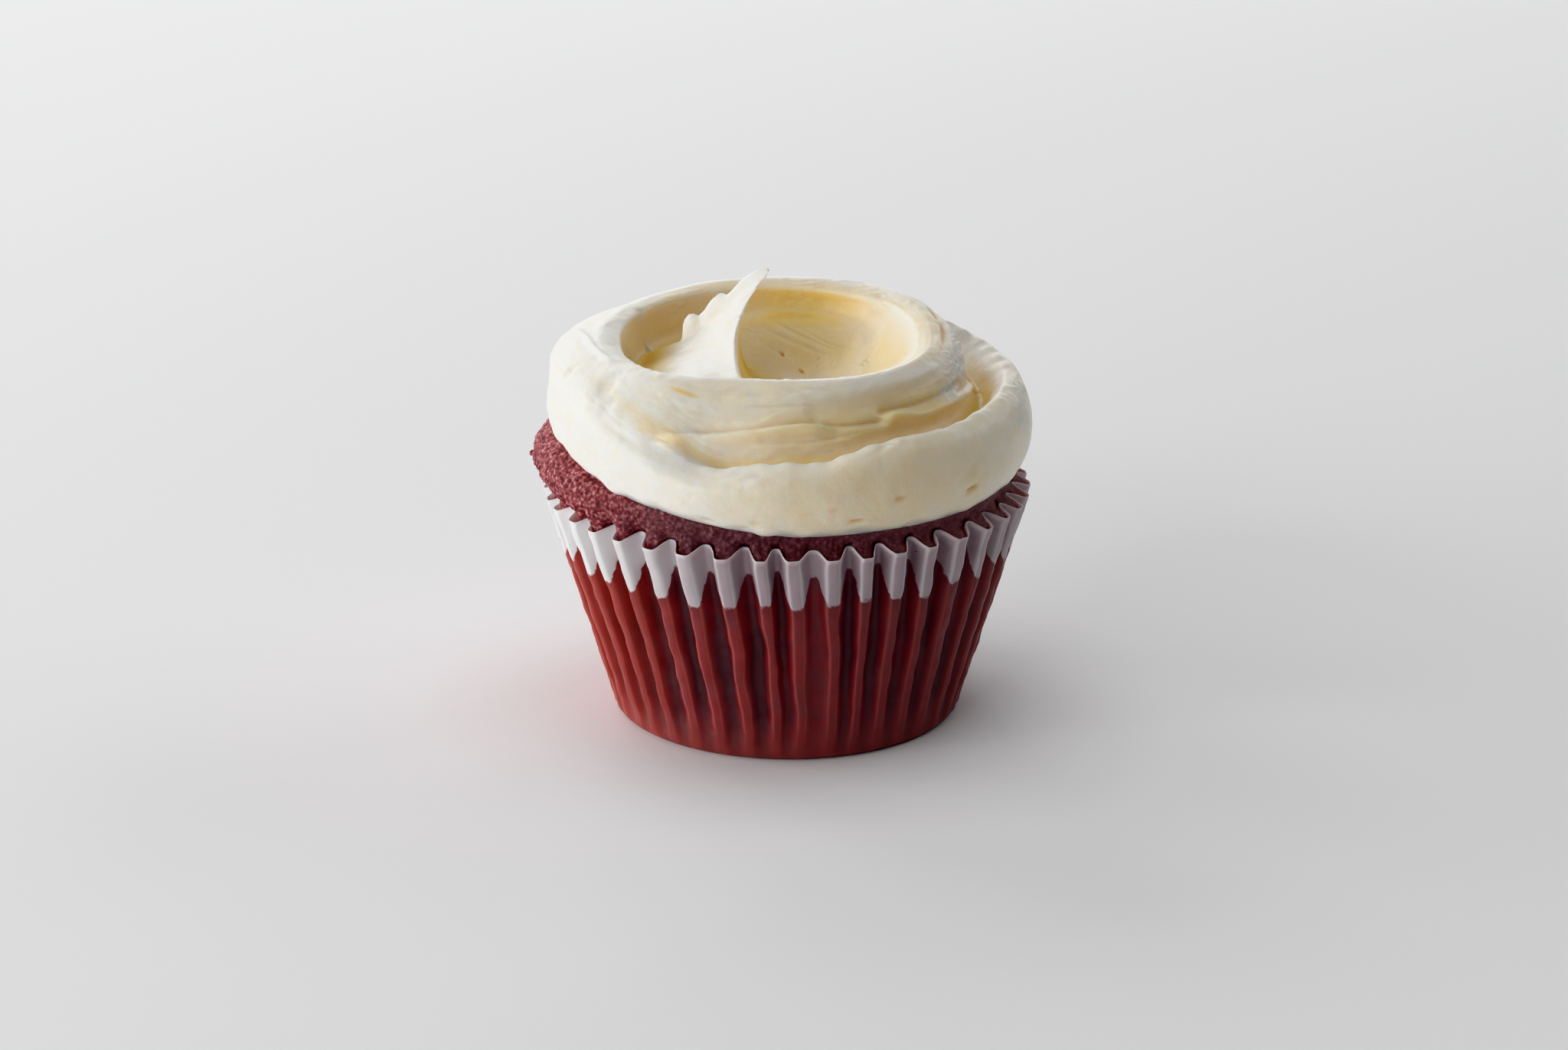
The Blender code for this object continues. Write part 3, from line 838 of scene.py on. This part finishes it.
# Strokes of the spatula: how far each stands up in mm, or sinks in, how wide its upper and its lower side
# are, and its course as (compass angle, line), where line 0 is the seat, 4 the lip, 8 the flank and 12 the
# rim's edge.
STROKES = (
    (
        0.8, 0.2, 1.8, (-35, 5.7), (-32, 6.0), (-29, 6.5), (-26, 7.2), (-21, 7.7), (-15, 7.86),
        (-6, 7.92), (3, 7.95), (10, 7.9), (14, 7.75),
    ),
    (
        -0.4, 0.55, 0.12, (-29, 6.9), (-26, 7.4), (-21, 7.87), (-15, 8.0), (-6, 8.03), (3, 8.06),
        (10, 8.0), (14, 7.9),
    ),
    (-0.28, 0.5, 0.5, (-9, 7.6), (-5, 7.62), (3, 7.62), (9, 7.58), (13, 7.5)),
    (0.3, 0.2, 0.9, (-12, 7.35), (-8, 7.33), (0, 7.25), (7, 7.2), (15, 7.3), (22, 7.43), (26, 7.5)),
    (-0.5, 0.45, 0.4, (9, 8.05), (13, 7.95), (18, 7.85), (24, 7.8), (29, 7.75), (34, 7.7)),
    (0.3, 0.25, 0.6, (14, 7.7), (18, 7.65), (24, 7.6), (29, 7.55), (35, 7.5)),
    (
        1.0, 0.28, 1.3, (28, 7.6), (30.5, 7.8), (34, 7.95), (38, 7.85), (44, 7.65), (54, 7.6), (66, 7.5),
        (80, 7.25), (92, 7.1),
    ),
    (-0.8, 0.9, 0.3, (27, 8.0), (31, 8.1), (38, 8.1), (46, 7.98), (55, 7.92), (66, 7.85), (78, 7.75)),
    (0.16, 0.2, 0.7, (-14, 8.0), (-10, 8.15), (-6, 8.35), (-2, 8.55), (3, 8.62)),
    (-0.25, 0.28, 0.22, (-14, 8.78), (-10, 8.82), (0, 8.8), (7, 8.75), (11, 8.7)),
    (0.26, 0.6, 1.2, (-20, 9.2), (-10, 9.1), (8, 9.2), (25, 9.3), (43, 9.4), (60, 9.2), (68, 9.0)),
    (-0.4, 1.1, 1.6, (4, 8.6), (18, 8.7), (30, 8.7), (45, 8.62), (58, 8.55), (66, 8.5)),
    (0.12, 0.3, 0.4, (-16, 9.5), (-11, 9.66), (0, 9.75), (10, 9.85), (20, 9.92), (30, 9.9)),
    (0.5, 0.3, 0.9, (-99, 5.8), (-94, 6.3), (-87, 7.4), (-78, 7.9), (-68, 8.4), (-60, 8.9)),
    (-0.3, 0.6, 0.6, (-96, 5.4), (-88, 6.6), (-78, 7.3), (-68, 7.8), (-62, 8.2)),
)
# Places where a bubble broke or a lump tore out: compass angle, line, half its length and width and depth
# in mm, how far it leans, and how much tan is painted on its floor as warm shade.
PITS = (
    (47.0, 1.65, 1.25, 0.5, 0.45, 8, 1.0),
    (26.6, 2.0, 1.1, 0.27, 0.25, 10, 0.85),
    (15.8, 1.33, 1.2, 0.26, 0.3, 8, 0.9),
    (10.2, 1.84, 0.8, 0.3, 0.15, 10, 0.35),
    (4.6, 1.67, 1.1, 0.22, 0.2, 0, 0.6),
    (-7.5, 1.15, 0.7, 0.25, 0.15, 20, 0.3),
    (-18.3, 0.8, 1.0, 0.35, 0.3, 0, 0.3),
    (-45.1, 1.0, 0.5, 0.2, 0.2, 0, 0.2),
    (-54.5, 6.2, 1.3, 2.2, 0.22, 10, 0.0),
    (-50.2, 4.9, 1.0, 1.8, 0.2, 0, 0.0),
    (-70.1, 4.3, 0.8, 1.8, 0.35, 0, 0.0),
    (116.0, 9.5, 2.6, 0.3, 0.3, -4, 1.0),
    (96.0, 9.5, 4.4, 0.32, 0.3, 0, 1.0),
    (79.0, 9.5, 1.2, 0.28, 0.14, 0, 0.4),
    (87.0, 3.25, 0.4, 0.9, 0.5, 0, 0.9),
    (98.0, 6.1, 0.3, 0.5, 0.4, 0, 0.8),
    (181.2, 17.8, 0.55, 0.7, 0.4, 20, 1.0),
    (191.4, 17.0, 0.42, 0.75, 0.5, 0, 1.0),
    (161.7, 17.1, 0.3, 0.2, 0.2, 0, 0.4),
)
# Places that dried and roughened: compass angle, line, reach in degrees and in lines, and how dry.
DRIED = (
    (80, 8.4, 18, 0.7, 1.0),
    (100, 8.6, 14, 0.5, 1.0),
    (76, 2.8, 7, 0.45, 1.0),
    (84, 3.3, 6, 0.5, 1.0),
    (66, 7.9, 7, 0.5, 1.0),
)
# Painted warm shade: butter yellow patches in hollows and on the shaded side, given the same way, and how
# yellow.
WARM_SHADE_PATCHES = (
    (38, 7.8, 64, 1.4, 0.48),
    (-18, 5.9, 12, 0.7, 0.3),
    (15, 6.1, 60, 0.9, 0.55),
    (80, 6.0, 36, 0.9, 0.72),
    (-8, 9.3, 36, 0.9, 0.2),
    (172, 14.1, 38, 1.8, 0.68),
    (178, 15.4, 32, 0.7, 0.72),
    (177, 15.25, 24, 0.45, 0.84),
    (-112, 14.6, 66, 1.9, 0.5),
    (-112, 15.7, 56, 1.0, 0.95),
    (165, 16.8, 80, 1.8, 0.54),
    (90, 15.1, 60, 1.9, 0.56),
    (60, 2.2, 70, 2.6, 0.16),
    (24, 1.9, 44, 2.0, 0.3),
    (-32, 5.7, 10, 0.9, 0.4),
    (-32, 8.95, 5, 0.12, 0.7),
    (95, 10.5, 45, 1.6, 0.3),
    (180, 11.5, 70, 1.2, 0.4),
)


def ripples(angle, line, around, across, seed):
    """Random smooth waves over the frosting, seamless round it: so many to a turn, so many to each line."""
    draw = np.random.default_rng(seed)
    total = np.zeros(line.shape)
    count = 36
    for _ in range(count):
        turns = draw.integers(-around, around + 1)
        phase = draw.uniform(0, 2 * math.pi)
        per_line = draw.uniform(0.4, 1.0) * across * 2 * math.pi
        total += np.sin(turns * np.radians(angle) + per_line * line + phase)
    return total / math.sqrt(count)


def facing(points):
    """Outward directions of a grid of points that closes on itself from its first column to its last."""
    closed = points[:, :-1]
    along_row = np.roll(closed, -1, 1) - np.roll(closed, 1, 1)
    up = np.cross(along_row, np.gradient(closed, axis=0))
    up /= np.maximum(np.linalg.norm(up, axis=-1, keepdims=True), 1e-9)
    return np.concatenate([up, up[:, :1]], 1)


def patches(turn, line, places):
    """Soft-edged patches at (compass angle, line, reach in degrees, spread in lines, strength)."""
    found = np.zeros(line.shape)
    for at, row, reach, spread, strength in places:
        apart = (((turn - at + 180) % 360 - 180) / reach) ** 2 + ((line - row) / spread) ** 2
        found = np.maximum(found, strength * np.exp(-(apart**1.5)))
    return found


def work_over(points, angle, line):
    """The frosting's surface with its strokes, pits, rough places and ripples, and marks for its colour."""
    steps = np.linalg.norm(np.diff(points, axis=0), axis=-1)
    length = np.concatenate([np.zeros((1, points.shape[1])), np.cumsum(steps, 0)])
    turn = np.broadcast_to((angle + 180) % 360 - 180, line.shape)
    radius = np.hypot(points[..., 0], points[..., 1])

    def across_from(lines_at):
        """Distance in mm from a line on the surface, counted upwards and inwards."""
        home = [np.interp(at, line[:, column], length[:, column]) for column, at in enumerate(lines_at)]
        return length - np.array(home)

    lift = np.zeros(line.shape)
    for rise, above, below, *stops in STROKES:
        stops = np.array(stops, float)
        off = across_from(np.interp(turn[0], stops[:, 0], stops[:, 1]))
        start, end = stops[0, 0], stops[-1, 0]
        ends = smoothstep(start, start + 5, turn) * (1 - smoothstep(end - 7, end, turn))
        lift += rise * ends * np.where(off > 0, np.exp(-((off / above) ** 2)), np.exp(-((off / below) ** 2)))
    pit_shade = np.zeros(line.shape)
    for at, row, long, wide, deep, lean, warm_share in PITS:
        east = ((turn - at + 180) % 360 - 180) * math.pi / 180 * radius
        north = across_from(np.full(line.shape[1], row))
        tilt = math.radians(lean)
        one = east * math.cos(tilt) + north * math.sin(tilt)
        other = north * math.cos(tilt) - east * math.sin(tilt)
        pit = np.exp(-(((one / long) ** 2 + (other / wide) ** 2) ** 2))
        lift -= deep * pit
        pit_shade = np.maximum(pit_shade, pit * warm_share)
    dried, warm_shade = patches(turn, line, DRIED), patches(turn, line, WARM_SHADE_PATCHES)
    flank = smoothstep(5.5, 7.0, line) * (1 - smoothstep(11.4, 12.2, line))
    outer = smoothstep(0.3, 1.2, line) * (1 - smoothstep(3.7, 4.2, line))
    well = smoothstep(12.5, 14.0, line) * (1 - smoothstep(17.0, 19.0, line))
    flank = flank * (0.12 + 0.88 * smoothstep(-42, -20, turn) * (1 - smoothstep(100, 130, turn)))
    lift += flank * 0.05 * ripples(angle, line, 7, 2.2, 1) * (0.6 + 0.4 * ripples(angle, line, 4, 0.4, 2))
    lift += outer * 0.10 * ripples(angle, line, 26, 0.35, 3)
    wrinkles = outer * 0.035 * ripples(angle, line, 170, 0.5, 4)
    lift += wrinkles * smoothstep(1.5, 3.2, line) * smoothstep(0, 50, turn)
    lift += 0.05 * ripples(angle, line, 64, 2.4, 10) * np.maximum(ripples(angle, line, 16, 0.7, 11), 0)
    lift += well * 0.06 * ripples(angle, line, 12, 0.8, 5)
    lift += dried * 0.2 * ripples(angle, line, 150, 3.2, 6)
    rim = np.exp(-(((line - 12.0) / 0.35) ** 2))
    lift += rim * 0.06 * ripples(angle, line * 0, 120, 1.0, 7)
    lip = np.exp(-(((line - 4.2) / 0.5) ** 2))
    lift += lip * 0.10 * ripples(angle, line * 0, 60, 1.0, 8)
    seat = 1 - smoothstep(0.4, 1.3, line)
    lift += seat * 0.2 * ripples(angle, line * 0, 46, 1.0, 9) * smoothstep(0.0, 0.15, line)
    combed = 0.12 + 0.88 * flank
    marks = {"combed": combed, "pit_shade": pit_shade, "dried": dried, "warm_shade": warm_shade}
    return points + facing(points) * lift[..., None], marks


def place_frosting(around):
    # The columns lie closer together in front.
    angle = around * 360 - 18 * np.sin(2 * math.pi * around)
    courses = (SEAT, BELLY, SHOULDER, LIP, INNER_LIP, GROOVE, FOOT, FLANK, BROW, CREST, RIM_EDGE)
    lines = [at(angle) for at in courses]
    seat, edge, wall, foot = lines[0], lines[-1], WELL_WALL(angle), WELL_FOOT(angle)
    lines.insert(1, seat + (1.4, 1.5))
    lines[-1:] = [edge + (0.55, 0.12), edge, edge - (0.28, 0.45), wall, foot]
    rings = [ring(angle, line) for line in lines]
    outermost = rings[-1]
    lowest = np.broadcast_to(WELL_LOWEST, outermost.shape)
    for share in (0.78, 0.5, 0.2):
        flat = lowest + (outermost - lowest) * share
        flat[:, 2] = WELL_LOWEST[2] + (foot[:, 1] - WELL_LOWEST[2]) * share**1.6
        rings.append(flat)
    rings.append(lowest)
    fine = through(rings, 40)
    line = np.linspace(0, len(rings) - 1, len(fine))
    well = line >= WELL_STARTS
    tone = np.zeros(fine.shape[:2])
    fine[well], tone[well] = with_fold(fine[well])
    line_of = np.broadcast_to(line[:, None], tone.shape)
    fine = np.concatenate([fine, line_of[..., None], tone[..., None]], -1)
    skin = respace(fine, FROSTING_SKIN_ROWS, np.interp(line_of, SPACED_LINES, CLOSENESS))
    line, tone = skin[..., 3], skin[..., 4]
    points, marks = work_over(skin[..., :3], angle, line)
    marks["line"] = line
    # The fold's tone raises the painted warm shade in its hollow and takes it off its lit slope.
    marks["warm_shade"] = np.maximum(marks["warm_shade"] * (1 + np.minimum(tone, 0)), 0.85 * tone)
    under = [
        polar(angle, seat[:, 0] * share, seat[:, 1] - 0.2 + (DOME_HEIGHT - seat[:, 1]) * (1 - share**2))
        for share in UNDERSIDE
    ]
    none = np.zeros((len(under), len(angle)))
    marks = {name: np.concatenate([none, values]) for name, values in marks.items()}
    return np.concatenate([np.array(under), points]), marks


frosting = roll_up("frosting_swirl", FROSTING_COLUMNS, len(UNDERSIDE) + FROSTING_SKIN_ROWS, place_frosting)

# Cream cheese frosting: cheese and butter beaten with sugar into a dense smooth cream. Light goes a few
# millimetres into it and comes out warmer; on top of that, butter yellow is painted in as warm shade in the
# hollows, in the pits and on the shaded front and right, and kept off the lit fold and thin edges. The
# spatula leaves fine streaks along its way, and the skin dries matt and wrinkled where it is thin.
FROSTING_CREAM = linear("FDF4EC")
FROSTING_PEACH = linear("F9E2BC")
FROSTING_BUTTER = linear("F5DB8C")
FROSTING_AMBER = linear("E6A829")
FROSTING_PIT_SHADE = linear("ECC684")
FROSTING_DRIED = linear("F1EEE6")

cream, tree, shader = start_material("cream cheese frosting")
spot = add_node(tree, "ShaderNodeTexCoord").outputs["Object"]
line, pit_shade, dried, warm_shade, combed = (
    add_node(tree, "ShaderNodeAttribute", {"attribute_name": mark}).outputs["Fac"]
    for mark in ("line", "pit_shade", "dried", "warm_shade", "combed")
)
mottle, lumps, creases = (
    add_node(tree, "ShaderNodeTexNoise", None, {"Vector": spot, "Scale": size, "Detail": fine}).outputs["Fac"]
    for size, fine in ((330.0, 3.0), (420.0, 5.0), (1300.0, 4.0))
)
uneven = add_node(tree, "ShaderNodeMath", {"operation": "MULTIPLY_ADD"}, {0: mottle, 1: 0.26, 2: -0.13})
warm = add_node(
    tree, "ShaderNodeMath", {"operation": "ADD", "use_clamp": True}, {0: warm_shade, 1: uneven.outputs[0]}
)
# The painted warm shade runs from cream through peach and butter to amber.
warmed = add_node(tree, "ShaderNodeValToRGB", None, {"Fac": warm.outputs[0]})
warmed.color_ramp.elements[0].color = FROSTING_CREAM
warmed.color_ramp.elements[1].color = FROSTING_AMBER
warmed.color_ramp.elements.new(0.4).color = FROSTING_PEACH
warmed.color_ramp.elements.new(0.75).color = FROSTING_BUTTER
colour = warmed.outputs["Color"]
for factor, tint in ((dried, FROSTING_DRIED), (pit_shade, FROSTING_PIT_SHADE)):
    over = add_node(tree, "ShaderNodeMix", {"data_type": "RGBA"}, {"Factor": factor, "A": colour, "B": tint})
    colour = over.outputs["Result"]
tree.links.new(colour, shader.inputs["Base Color"])
# The streaks are noise that changes quickly from line to line and slowly along each.
apart = add_node(tree, "ShaderNodeSeparateXYZ", None, {"Vector": spot})
east, north, across = (
    add_node(tree, "ShaderNodeMath", {"operation": "MULTIPLY"}, {0: value, 1: times}).outputs[0]
    for value, times in ((apart.outputs["X"], 60.0), (apart.outputs["Y"], 60.0), (line, 4.0))
)
swept = add_node(tree, "ShaderNodeCombineXYZ", None, {"X": east, "Y": north, "Z": across}).outputs["Vector"]
streaks = add_node(tree, "ShaderNodeTexNoise", None, {"Vector": swept, "Scale": 1.0, "Detail": 4.0})
streaked, crusty = (
    add_node(tree, "ShaderNodeMath", {"operation": "MULTIPLY"}, {0: height, 1: share}).outputs[0]
    for height, share in ((streaks.outputs["Fac"], combed), (creases, dried))
)
relief = add_node(tree, "ShaderNodeBump", None, {"Height": streaked, "Strength": 0.5, "Distance": 0.3 * MM})
for height, strength, reach in ((lumps, 0.65, 0.45), (crusty, 0.8, 0.35)):
    relief = add_node(
        tree,
        "ShaderNodeBump",
        None,
        {"Height": height, "Strength": strength, "Distance": reach * MM, "Normal": relief.outputs["Normal"]},
    )
tree.links.new(relief.outputs["Normal"], shader.inputs["Normal"])
shader.inputs["Roughness"].default_value = 0.4
shader.inputs["Subsurface Weight"].default_value = 1.0
shader.inputs["Subsurface Radius"].default_value = (1.0, 0.8, 0.62)
shader.inputs["Subsurface Scale"].default_value = 1.6 * MM

frosting.data.materials.append(cream)
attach(frosting, "root")
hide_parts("frosting")

# ----------------------------------------------------------------------
# Studio: a pale sheet of paper to stand on, soft light from a low window on the left and from behind, and a
# camera that looks down a little from the front.
# ----------------------------------------------------------------------

bpy.ops.object.select_all(action="DESELECT")
bpy.ops.mesh.primitive_plane_add(size=12.0, location=(0, 3.0, 0))
floor = bpy.context.active_object
floor.name = "floor"
backdrop, tree, shader = start_material("matt backdrop paper")
shader.inputs["Base Color"].default_value = linear("F9F9FA")
shader.inputs["Roughness"].default_value = 0.9
floor.data.materials.append(backdrop)

LIT_POINT = (0, 0, 0.035)


def soft_light(name, place, height, power, width=1.2):
    """A white softbox at a place, turned towards the cupcake, its width level."""
    bpy.ops.object.light_add(type="AREA", location=place)
    lamp = bpy.context.active_object
    lamp.name = name
    lamp.data.shape = "RECTANGLE"
    lamp.data.size = width
    lamp.data.size_y = height
    lamp.data.energy = power
    lamp.rotation_euler = (Vector(LIT_POINT) - Vector(place)).to_track_quat("-Z", "Y").to_euler()


# The low window on the left is three softboxes side by side; the rest are weaker, behind and overhead.
soft_light("window light behind", (-1.15, 0.65, 0.3), 0.6, 5.2)
soft_light("window light", (-1.3, -0.1, 0.37), 0.6, 8.3)
soft_light("window light in front", (-0.9, -0.95, 0.58), 0.6, 7.9)
soft_light("back light", (0.0, 1.35, 0.35), 0.6, 5.4, 1.4)
soft_light("back light on the left", (-0.7, 1.15, 0.8), 0.6, 5.4)
soft_light("back light on the right", (1.15, 0.6, 0.75), 0.6, 4.4)
soft_light("top light", (0.0, 0.0, 1.5), 1.2, 5.3)

world = bpy.data.worlds.new("studio")
world.use_nodes = True
sky = world.node_tree.nodes["Background"]
sky.inputs["Color"].default_value = (0.95, 0.96, 1.0, 1.0)
sky.inputs["Strength"].default_value = 0.02
bpy.context.scene.world = world
bpy.context.scene.view_settings.view_transform = "Khronos PBR Neutral"

CAMERA_TILT = 18.9
looking_down = (math.radians(90 - CAMERA_TILT), 0, 0)
bpy.ops.object.camera_add(location=(-0.00044, -0.517, 0.2033), rotation=looking_down)
camera = bpy.context.active_object
camera.name = "camera"
camera.data.lens = 87.9
camera.data.sensor_width = 36.0
bpy.context.scene.camera = camera
